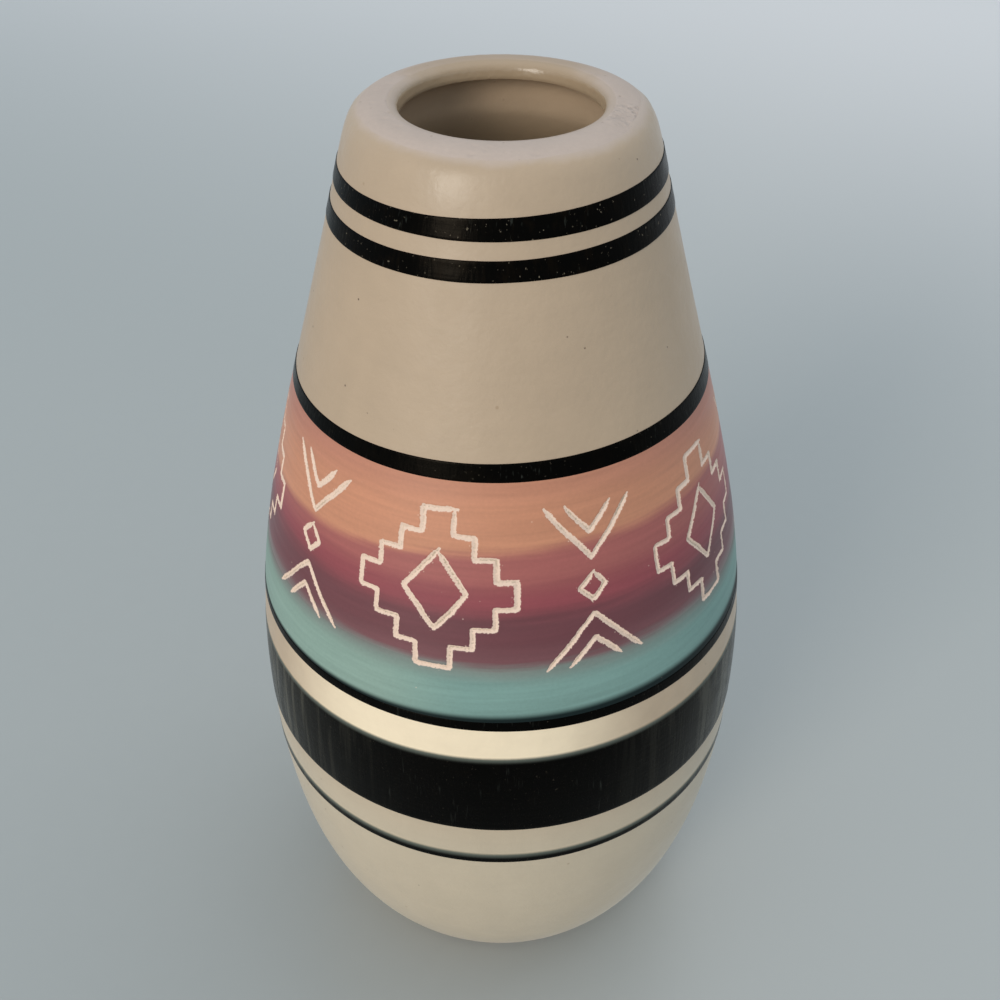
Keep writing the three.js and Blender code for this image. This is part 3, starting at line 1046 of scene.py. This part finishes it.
def sunset(paint, colours):
    """Colour of the border by height, brushed on in streaks that lean a little across the vase, with painted
    sheen at its sides.
    """
    lean = paint.combined(paint.east * 0.05, paint.north * 0.05, paint.height - paint.east * 0.03)
    streaks = paint.noise(3.2 * MM, 3.0, place=lean)
    fine_streaks = paint.noise(0.9 * MM, 3.0, shift=6.0, place=lean)
    strokes = paint.noise(2.6 * MM, 3.0, (0.2, 0.2, 1), shift=5.0)
    speckle = paint.noise(0.6 * MM, 2.0, shift=2.0)
    east, _ = paint.facing()
    side = east * east
    height = paint.height + (streaks * 2.6 + fine_streaks * 0.8 + strokes * 1.2) * MM
    upper = height - (east * 3 - side * 2) * MM
    lower = paint.height + (streaks * 1.8 + fine_streaks * 1.8 + strokes * 1.4) * MM
    # Deeper peach near the shoulder, blended in more at the sides along x as painted glancing sheen
    mauve_and_side_sheen = paint.rise(height, 136 * MM - side * 4 * MM, 142 * MM) * (0.25 + side * 0.75)
    tone = paint.blend(colours.peach, colours.deep_peach_and_sheen, mauve_and_side_sheen)
    tone = paint.blend(tone, colours.rose, paint.fall(upper, *ROSE_TAKES_OVER))
    tone = paint.blend(tone, colours.deep_rose, paint.fall(height, *DEEP_ROSE_TAKES_OVER))
    tone = paint.blend(tone, colours.plum, paint.fall(height, *PLUM_TAKES_OVER))
    tone = paint.blend(tone, colours.pale_plum, paint.fall(height, *PALE_PLUM_TAKES_OVER))
    passing = paint.fall(lower, (106.4 - side * 1.2) * MM, (108.4 + side * 2.4) * MM)
    tone = paint.blend(tone, colours.grey_turquoise, passing)
    # Painted reflection: the turquoise is paler towards the -x side
    turquoise = paint.blend(colours.turquoise, colours.painted_sheen_turquoise, paint.fall(east, -0.5, -0.1))
    tone = paint.blend(tone, turquoise, paint.fall(lower, *TURQUOISE_TAKES_OVER))
    dark = paint.fall(paint.height - paint.east * 0.015, 95.8 * MM, (97.4 + east * 0.5) * MM)
    tone = paint.blend(tone, colours.dusk, dark)
    return paint.scaled(tone, 1 + streaks * 0.24 + fine_streaks * 0.3 + speckle * 0.14)


def border_finish(name, colours):
    """One of the four coloured slips, laid open where a scratched line cuts through it."""
    paint = Finish(name)
    grit = paint.noise(0.35 * MM, 3.0, shift=8.0)
    line = paint.carried("from_line") + grit * 1.1
    open_clay = paint.fall(line, 0.92, 1.1)
    deep = paint.rise(paint.noise(9 * MM, 1.0, shift=5.0), -0.1, 0.15)
    bottom = paint.fall(line, 0.1, 0.4) * (0.2 + deep * 0.5)
    crumbs = paint.dots(0.8 * MM, 0.2 * MM, 0.35) * paint.fall(line, 1.3, 2.0)
    specks = paint.dots(4 * MM, 0.17 * MM, 0.6, shift=2.0)
    scuffs = paint.rise(paint.noise(0.5 * MM, 2.0, (1, 1, 0.06), shift=1.0), 0.3, 0.42)
    pale = paint.math("MAXIMUM", crumbs * 0.6, specks * 0.55 + scuffs * 0.1)
    base = paint.blend(sunset(paint, colours), colours.scratch, pale)
    line_colour = paint.blend(colours.scratch, colours.scratch_shade, bottom)
    base = paint.blend(base, paint.scaled(line_colour, 1 + grit * 0.2), open_clay)
    streaks = paint.noise(1.0 * MM, 3.0, (0.05, 0.05, 1), shift=6.0)
    roughness = 0.52 + streaks * 0.3 + open_clay * 0.33
    relief = (grit * (0.3 + open_clay) + streaks * 0.6) * 0.02 * MM
    gloss = TURQUOISE_GLOSS if name == "turquoise_coat" else COAT_GLOSS
    return paint.surface(base, roughness, relief, *gloss)


def glaze_finish(colours):
    """Gloss glaze that deepens down the neck and runs thin over the edge of the mouth."""
    paint = Finish("inner_glaze")
    clouds = paint.noise(12 * MM, 3.0)
    wheel = paint.noise(5 * MM, 2.0, (0.1, 0.1, 1))
    bubbles = paint.dots(2.2 * MM, 0.35 * MM, 0.5)
    edge = paint.height + paint.noise(3 * MM, shift=2.0) * 0.6 * MM
    thin = paint.rise(edge, *THIN_GLAZE_BEGINS)
    base = paint.blend(colours.deep_glaze, colours.glaze, paint.rise(paint.height, *SHALLOW_GLAZE_BEGINS))
    base = paint.scaled(base, 1 + clouds * 0.2 + wheel * 0.12)
    base = paint.blend(base, colours.glaze_edge, paint.rise(edge, *MOUTH_GLAZE_BEGINS))
    base = paint.blend(base, colours.clay, thin * 0.7 * (1 - glazed_behind(paint) * 0.8))
    ripple = paint.noise(1.6 * MM, 2.0, shift=5.0)
    relief = (clouds * 0.15 + wheel * 0.05 + ripple * 0.1 + bubbles * 0.04) * MM
    return paint.surface(base, 0.22 + clouds * 0.15 + thin * 0.5, relief)


# Pieces


def make_clay_body(form, colours):
    """The clay: foot, wall, rolled rim with its wiped crown, and the inside under the glaze."""
    wall = wall_line(form)
    foot = foot_line(form, wall)
    start = wall.travel_to(FOOT_EDGE_HEIGHT)
    neck = wall.travel_to(form.height - form.rim_height)
    end = slip_end(form, wall)
    hidden = [spaced(start, neck, 5 * MM)[1:], border_steps(wall), spaced(neck, end, 1 * MM)[1:]]
    hidden = np.sort(np.concatenate(hidden))
    crown = Outline(wall.points[wall.travel > end - 1 * MM])
    lining = glaze_line(form)
    lip = spaced(0, LIP_TRAVEL, 0.36 * MM)
    inside = np.concatenate([lip, spaced(LIP_TRAVEL, lining.length, 3 * MM)[1:]])
    section = [
        run(foot, spaced(0, foot.length, 0.55 * MM)[:-1], BARE_BED, grain=0.7, face=1),
        run(wall, np.array([start]), face=1),
        run(wall, hidden, level(border_share(wall, hidden), 0, CLAY_UNDER_BORDER)),
        run(crown, spaced(1.2 * MM, crown.length, 0.36 * MM)[:-1], BARE_BED, grain=1, face=1),
        run(lining, inside, glaze_bed(inside), grain=1 - ramp(inside, 0.5 * MM, 1 * MM)),
    ]
    meet_axis(section)
    relief = {"Relief": 0.06 * MM, "Relief Length": 1.6 * MM, "Pit Depth": 0.12 * MM, "Pit Share": 0.4}
    piece = turned("clay_body", section, clay_finish(colours), CLAY_COLUMNS, relief)
    hand_over(piece, "clay_body")


def make_inner_glaze(form, colours):
    """The glaze: it thins out over the edge of the mouth and lines the whole inside."""
    lining = glaze_line(form)
    edge = 0.1 * MM
    lip = spaced(LIP_TRAVEL, edge, 0.5 * MM)
    up = np.concatenate([spaced(lining.length, LIP_TRAVEL, 4 * MM)[:-1], lip])
    down = [spaced(edge, 8 * MM, 0.25 * MM), spaced(8 * MM, 40 * MM, 1 * MM)[1:]]
    down = np.concatenate([*down, spaced(40 * MM, lining.length, 2.6 * MM)[1:]])
    outer = (BARE_BED + SLIP_BED) * (1 - ramp(down, edge, 0.8 * MM))
    outer = outer + form.glaze * ramp(down, 0.8 * MM, 5 * MM)
    hand = 0.35 * MM * (1 - ramp(down, 0, 2 * MM))
    section = [
        run(lining, up, glaze_bed(up) + SLIP_BED),
        run(lining, down, outer, sway=hand, grain=ramp(down, 0.5 * MM, 3 * MM), face=1),
    ]
    meet_axis(section)
    relief = {
        "Relief": 0.05 * MM,
        "Relief Length": 9 * MM,
        "Wheel Marks": 0.08 * MM,
        "Wheel Mark Pitch": 6 * MM,
    }
    piece = turned("inner_glaze", section, glaze_finish(colours), GLAZE_COLUMNS, relief)
    hand_over(piece, "inner_glaze")


def make_cream_slip(form, colours):
    """The slip over the outside, feathered out towards the wiped crown."""
    wall = wall_line(form)
    start = wall.travel_to(FOOT_EDGE_HEIGHT)
    end = slip_end(form, wall)
    up = np.unique(np.concatenate([edged(start, end, 1.3 * MM, SLIP_EDGE), border_steps(wall)]))
    down = np.sort(np.concatenate([spaced(start, end, 4.5 * MM)[1:-1], border_steps(wall)]))[::-1]
    edge = rounded(up - start, SLIP_EDGE) * ramp(end - up, 0, SLIP_THINS)
    outer = level(border_share(wall, up), SLIP_BED + (form.slip - SLIP_BED) * edge, SLIP_UNDER_BORDER)
    inner = level(border_share(wall, down), SLIP_BED, SLIP_BED_UNDER_BORDER)
    hand = 0.5 * MM * (1 - ramp(up - start, 0, 4 * MM)) + 0.9 * MM * ramp(up, end - 5 * MM, end)
    section = ring_closed(
        run(wall, up, outer, sway=hand, grain=edge * (1 - border_share(wall, up)), face=1),
        run(wall, down, inner),
    )
    relief = {"Relief": 0.02 * MM, "Relief Length": 4 * MM, "Wheel Marks": 0.02 * MM}
    piece = turned("cream_slip", section, cream_finish(colours), SLIP_COLUMNS, relief)
    hand_over(piece, "cream_slip")


def make_painted_ring(name, form, finish, seed):
    """A black ring with slightly uneven, leaning edges, bedded in the slip."""
    ring = {"past_low": 0, "past_high": 0, "thin": 0, **RINGS[name]}
    wall = wall_line(form)
    low, high = (corner.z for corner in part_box(name))
    start = wall.travel_to(low - ring["past_low"])
    end = wall.travel_to(high + ring["past_high"])
    up = edged(start, end, min(0.8 * MM, (end - start) / 8), RING_EDGE)
    down = spaced(end, start, 2.5 * MM)
    fade = np.clip((end - up) / ring["thin"], 0, 1) if ring["thin"] else np.ones(len(up))
    full = level(ramp(fade, 0, 1), form.slip + 0.02 * MM, form.paint)
    outer = level(rounded(up - start, RING_EDGE) * rounded(end - up, RING_EDGE), PAINT_BED, full)

    def side(travel, out, **facts):
        share = (travel - start) / (end - start)
        tilt = np.radians(level(share, ring["low_tilt"], ring["high_tilt"]))
        return run(wall, travel, out, tilt, sway=0.1 * MM, side=share, **facts)

    section = ring_closed(side(up, outer, grain=1, face=1, fade=fade), side(down, PAINT_BED, fade=1.0))
    relief = {"Seed": seed, "Relief": 0.008 * MM, "Relief Length": 3 * MM}
    hand_over(turned(name, section, finish, RING_COLUMNS, relief), name)


def wrapped(place, form, design, wall):
    """A place of the flat design, as (along, up) from its middle, laid round the vase."""
    along, up = place
    height = design.middle + up
    angle = FRONT + design.turn + along / wall.radius_at(design.middle)
    radius = wall.radius_at(height) + form.border
    return (radius * math.cos(angle), radius * math.sin(angle), height)


def stroke_places(corners, step):
    """Places along straight pulls from corner to corner, with the share travelled at each."""
    line = Outline(corners)
    travel = spaced(0, line.length, step)
    return line.read(travel), travel, line.length


def design_strokes(period):
    """The flat design: a terraced diamond with a small diamond in it, then chevrons from above and below."""
    terrace = [(3, 15), (3, 10.6), (6.8, 10.6), (6.8, 6.6), (10.6, 6.6), (10.6, 2.6), (14.2, 2.6)]
    right = terrace + [(x, -y) for x, y in reversed(terrace)]
    left = [(-x, y) for x, y in reversed(right)]
    strokes = [right + left + [(3.6, 15.2)]]
    strokes.append([(0, 7.4), (5.6, 0), (0, -7.2), (-5.8, 0), (0.4, 7.9)])
    middle = period / 2
    for side in (1, -1):
        for half_width, foot_drop in ((8.6, 5.4), (4.6, 10.2)):
            peak = (middle, side * foot_drop)
            strokes.append([(middle - half_width, side * 15.4), peak, (middle + half_width, side * 15.0)])
    strokes.append([(middle, 2.7), (middle + 2.4, 0), (middle, -2.7), (middle - 2.4, 0), (middle + 0.3, 3.0)])
    return strokes


def make_strokes(form, design):
    """The strokes of one repeat as edges that lie on the border, with the stylus's pressure at each point."""
    wall = wall_line(form)
    period = FULL_TURN / design.repeats * wall.radius_at(design.middle) / MM
    points = []
    edges = []
    pressures = []
    for corners in design_strokes(period):
        places, travel, length = stroke_places(np.array(corners) * MM, 0.4 * MM)
        first = len(points)
        points += [wrapped(place, form, design, wall) for place in places]
        edges += [(i, i + 1) for i in range(first, len(points) - 1)]
        pressures.append(0.45 + 0.55 * ramp(np.minimum(travel, length - travel), 0, 1.8 * MM))
    mesh = new_mesh("strokes", points, edges)
    mesh.attributes.new("pressure", "FLOAT", "POINT").data.foreach_set("value", np.concatenate(pressures))
    return new_object("strokes", mesh)


def border_edges():
    """Heights of the edges of the coloured coats from the top down."""
    names = ("peach_coat", "rose_coat", "plum_coat", "turquoise_coat")
    shared = [(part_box(upper)[0].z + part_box(lower)[1].z) / 2 for upper, lower in zip(names, names[1:])]
    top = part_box("shoulder_band")[0].z + UNDER_SHOULDER_BAND
    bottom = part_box("belly_line")[0].z + UNDER_BELLY_LINE
    return dict(zip(names, zip([*shared, bottom], [top, *shared])))


def make_border_coat(name, form, design, colours, strokes):
    """One coloured coat, thick enough to be cut by the stylus."""
    wall = wall_line(form)
    low, high = border_edges()[name]
    start, end = wall.travel_to(low), wall.travel_to(high)
    up = spaced(start, end, 0.25 * MM)
    height = wall.read(up)[:, 1]
    under_band = ramp(height, high - 1.0 * MM, high - 0.6 * MM) if name == "peach_coat" else 0.0
    under_line = 1 - ramp(height, low + 0.3 * MM, low + 0.6 * MM) if name == "turquoise_coat" else 0.0
    outer = level(np.maximum(under_band, under_line), form.border, COVERED_COAT)
    section = ring_closed(run(wall, up, outer, face=1), run(wall, spaced(end, start, 3 * MM), BORDER_BED))
    finish = border_finish(name, colours)
    piece = turned(name, section, finish, BORDER_COLUMNS)
    values = {
        "Strokes": strokes,
        "Repeats": design.repeats,
        "Line Width": design.line_width,
        "Line Depth": design.line_depth,
        "Burr": design.burr,
        "Wobble": design.wobble,
        "Ragged Edge": design.ragged,
        "Finish": finish,
    }
    add_rule(piece, STYLUS, values)
    hand_over(piece, name)


# Stage


def make_floor(studio):
    """A pale floor, slightly glossy, with painted light that brightens it far behind and to the right."""
    corners = [(x * FLOOR_REACH, y * FLOOR_REACH, 0) for x, y in ((-1, -1), (1, -1), (1, 1), (-1, 1))]
    floor = new_object("floor", new_mesh("floor", corners, faces=[(0, 1, 2, 3)]))
    paint = Finish("floor")
    frost = paint.noise(6 * MM, 3.0)
    # Painted light: brighter far behind and to the right of the vase
    far = paint.rise(paint.north + paint.east * 0.6, 0.15, 0.95)
    base = paint.scaled(paint.blend(studio.floor, studio.far_floor_painted_light, far), 1 + frost * 0.02)
    floor.data.materials.append(paint.surface(base, 0.34 + frost * 0.1, frost * 0.01 * MM))


def make_sky(studio):
    """Even light from all sides."""
    world = bpy.data.worlds.new("sky")
    bpy.context.scene.world = world
    world.use_nodes = True
    background = world.node_tree.nodes["Background"]
    background.inputs["Color"].default_value = (*SKY_BLUE, 1)
    background.inputs["Strength"].default_value = studio.sky


def looking(place, aim):
    """The turn of a lamp or camera at a place that points it at another."""
    return (Vector(aim) - Vector(place)).to_track_quat("-Z", "Y").to_euler()


def make_light(name, place, span, power, tint):
    """A large soft light, turned to the vase, that the camera doesn't see."""
    lamp = bpy.data.lights.new(name, "AREA")
    lamp.shape = "RECTANGLE"
    lamp.size, lamp.size_y = span
    lamp.energy = power
    lamp.color = tint
    light = new_object(name, lamp)
    light.location = place
    light.rotation_euler = looking(place, (0, 0, 100 * MM))
    light.visible_camera = False


def make_camera(studio):
    """The camera in front of the vase and over it, looking down at its shoulder."""
    camera = new_object("camera", bpy.data.cameras.new("camera"))
    camera.data.lens = studio.lens
    camera.data.sensor_width = SENSOR_WIDTH
    camera.data.clip_start = 10 * MM
    camera.location = CAMERA_PLACE
    camera.rotation_euler = looking(CAMERA_PLACE, CAMERA_AIM)
    bpy.context.scene.camera = camera


# Operators and panel


class POTTERY_OT_stage(bpy.types.Operator):
    """Lay the floor, hang the lights and place the camera"""

    bl_idname = "pottery.stage"
    bl_label = "Stage"

    def execute(self, context):
        studio = context.scene.vase_studio
        context.scene.view_settings.view_transform = "Standard"
        make_floor(studio)
        make_sky(studio)
        make_light("window", WINDOW_PLACE, WINDOW_SPAN, studio.window, WINDOW_TINT)
        make_light("ceiling", CEILING_PLACE, CEILING_SPAN, studio.ceiling, CEILING_TINT)
        make_camera(studio)
        return {"FINISHED"}


class POTTERY_OT_clay_body(bpy.types.Operator):
    """Turn the clay body with its foot, wall and rolled rim"""

    bl_idname = "pottery.clay_body"
    bl_label = "Clay body"

    def execute(self, context):
        make_clay_body(context.scene.vase_form, context.scene.vase_colours)
        return {"FINISHED"}


class POTTERY_OT_inner_glaze(bpy.types.Operator):
    """Line the inside with gloss glaze"""

    bl_idname = "pottery.inner_glaze"
    bl_label = "Inner glaze"

    def execute(self, context):
        make_inner_glaze(context.scene.vase_form, context.scene.vase_colours)
        return {"FINISHED"}


class POTTERY_OT_cream_slip(bpy.types.Operator):
    """Coat the outside with cream slip"""

    bl_idname = "pottery.cream_slip"
    bl_label = "Cream slip"

    def execute(self, context):
        make_cream_slip(context.scene.vase_form, context.scene.vase_colours)
        return {"FINISHED"}


class POTTERY_OT_painted_rings(bpy.types.Operator):
    """Paint the black rings"""

    bl_idname = "pottery.painted_rings"
    bl_label = "Painted rings"

    def execute(self, context):
        finish = black_finish(context.scene.vase_colours)
        for place, name in enumerate(RINGS):
            make_painted_ring(name, context.scene.vase_form, finish, float(place))
        return {"FINISHED"}


class POTTERY_OT_coloured_border(bpy.types.Operator):
    """Lay the four coloured coats and scratch the pattern through them"""

    bl_idname = "pottery.coloured_border"
    bl_label = "Coloured border"

    def execute(self, context):
        form = context.scene.vase_form
        design = context.scene.border_design
        strokes = make_strokes(form, design)
        for name in border_edges():
            make_border_coat(name, form, design, context.scene.vase_colours, strokes)
        lines = strokes.data
        bpy.data.objects.remove(strokes)
        bpy.data.meshes.remove(lines)
        return {"FINISHED"}


OPERATORS = (
    POTTERY_OT_stage,
    POTTERY_OT_clay_body,
    POTTERY_OT_inner_glaze,
    POTTERY_OT_cream_slip,
    POTTERY_OT_painted_rings,
    POTTERY_OT_coloured_border,
)

SETTINGS = {
    "vase_form": VaseForm,
    "border_design": BorderDesign,
    "vase_colours": SlipColours,
    "vase_studio": VaseStudio,
}


class POTTERY_PT_vase(bpy.types.Panel):
    """Makes the vase piece by piece"""

    bl_label = "Banded pottery vase"
    bl_idname = "POTTERY_PT_vase"
    bl_space_type = "VIEW_3D"
    bl_region_type = "UI"
    bl_category = "Vase"

    def draw(self, context):
        for operator in OPERATORS:
            self.layout.operator(operator.bl_idname)
        for name, group in SETTINGS.items():
            box = self.layout.box()
            for prop in group.__annotations__:
                box.prop(getattr(context.scene, name), prop)


CLASSES = (*SETTINGS.values(), *OPERATORS, POTTERY_PT_vase)


def register():
    for made in CLASSES:
        bpy.utils.register_class(made)
    for name, group in SETTINGS.items():
        setattr(bpy.types.Scene, name, PointerProperty(type=group))


def unregister():
    for name in SETTINGS:
        delattr(bpy.types.Scene, name)
    for made in reversed(CLASSES):
        bpy.utils.unregister_class(made)


def main():
    register()
    bpy.ops.pottery.stage()
    bpy.ops.pottery.clay_body()
    bpy.ops.pottery.inner_glaze()
    bpy.ops.pottery.cream_slip()
    bpy.ops.pottery.painted_rings()
    bpy.ops.pottery.coloured_border()


if __name__ == "__main__":
    main()
